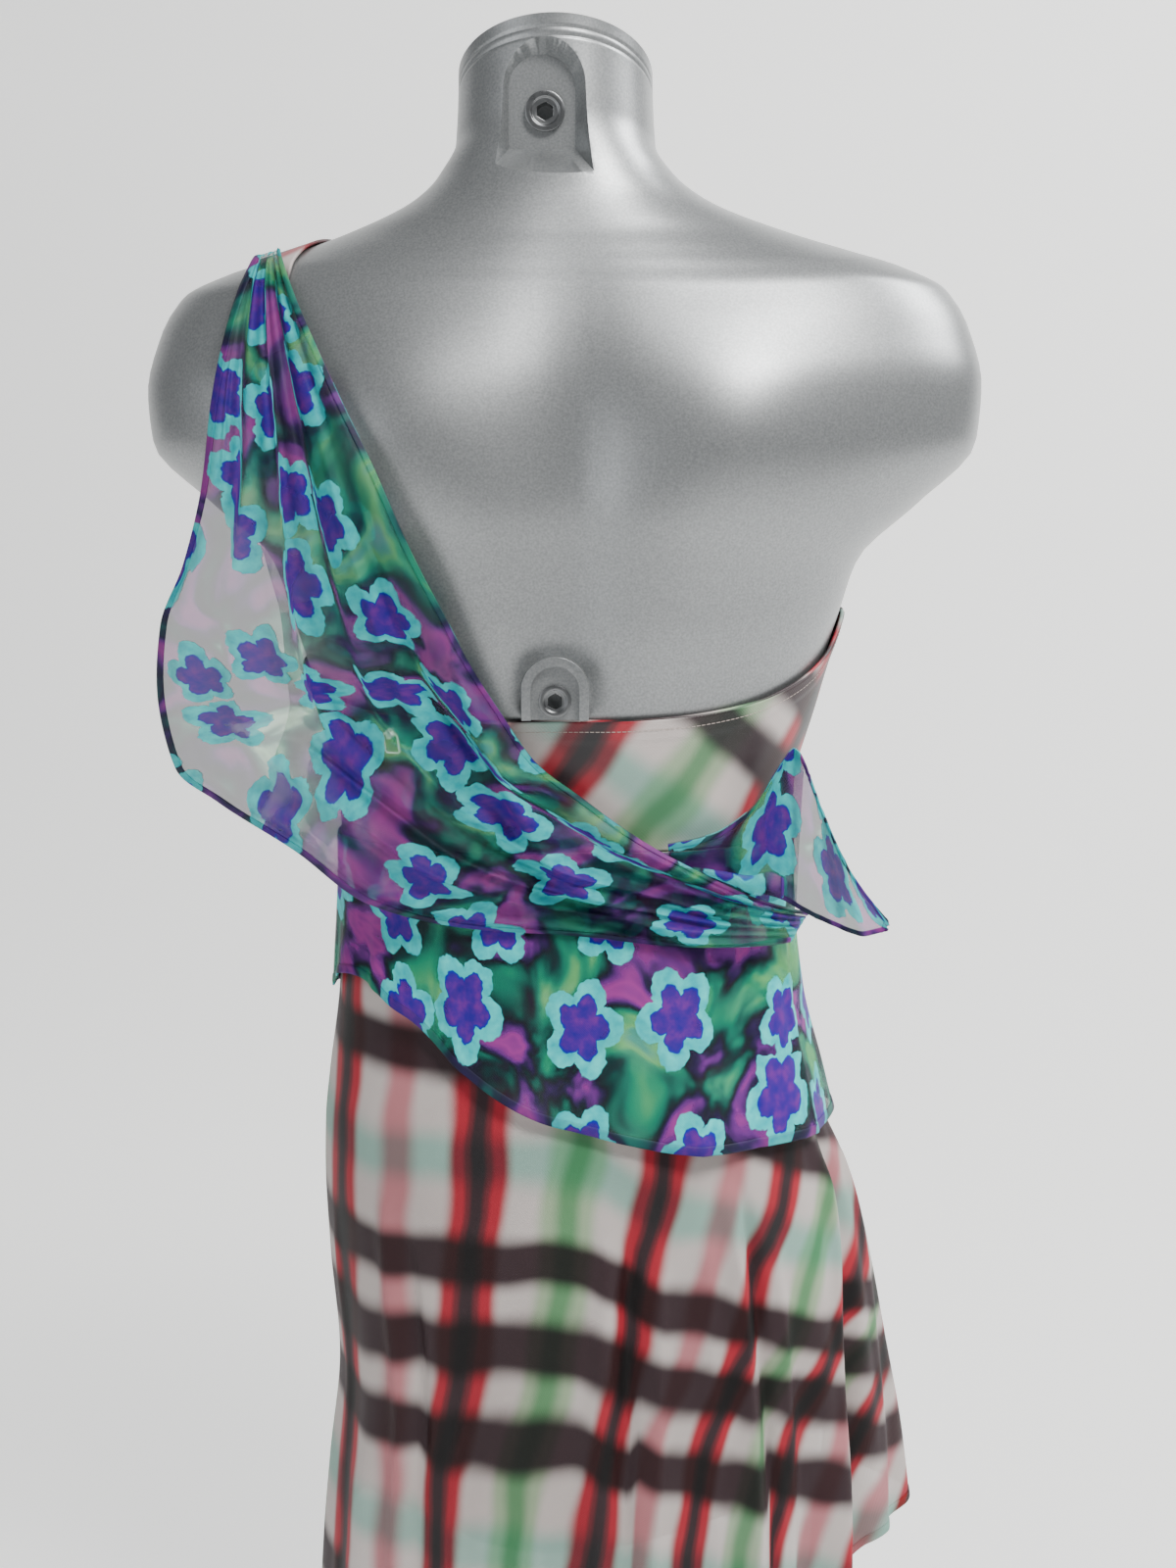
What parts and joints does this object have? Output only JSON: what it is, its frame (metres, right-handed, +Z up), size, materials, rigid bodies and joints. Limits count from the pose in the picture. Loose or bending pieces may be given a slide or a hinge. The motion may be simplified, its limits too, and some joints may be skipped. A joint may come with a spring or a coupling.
{
  "type": "one-shoulder slip dress on a dress form",
  "caption": "One-shoulder dress with plaid bodice and skirt, a chiffon peplum and a drape over one shoulder, on a limbless dress form with a round stand.",
  "frame": {"origin": "centre of the base plate's underside", "axes": "+Z up, -Y towards the back of the dress, +X towards the wearer's right"},
  "size_m": [0.414, 0.3, 0.9712],
  "materials": {
    "form_plastic": "satin silver-grey moulded plastic",
    "stand_metal": "bright plated steel",
    "base_metal": "silver powder coat",
    "insert_metal": "zinc-plated threaded inserts",
    "plaid_satin": "soft satin, blurred red, black and green plaid on greige",
    "plaid_chiffon": "sheer crepe chiffon, blurred plaid print",
    "lining_cloth": "matt greige lining",
    "flower_chiffon": "sheer chiffon, watercolour ground of teal, green and violet with aqua blossoms",
    "zip_metal": "nickel plate"
  },
  "bodies": {
    "root": {"form_torso": "form_plastic", "neck_socket": "insert_metal", "back_socket": "insert_metal", "stand_pole": "stand_metal", "pole_collar": "stand_metal", "base_plate": "base_metal", "bodice_back": "plaid_satin", "bodice_front": "plaid_satin", "shoulder_strap": "plaid_satin", "lining": "lining_cloth", "skirt_back": "plaid_chiffon", "skirt_front": "plaid_chiffon", "peplum_back": "flower_chiffon", "peplum_front": "flower_chiffon", "drape": "flower_chiffon", "flounce_right": "flower_chiffon", "drape_tail": "flower_chiffon", "zip_slider": "zip_metal"},
    "zip_pull": {"zip_pull": "zip_metal"}
  },
  "joints": [
    {"name": "zip_pull_hinge", "type": "hinge", "parent": "root", "child": "zip_pull", "pos_m": [-0.08412, -0.07096, 0.63241], "axis": [-0.8867, 0.4622, 0], "range_deg": [0, 20]}
  ]
}
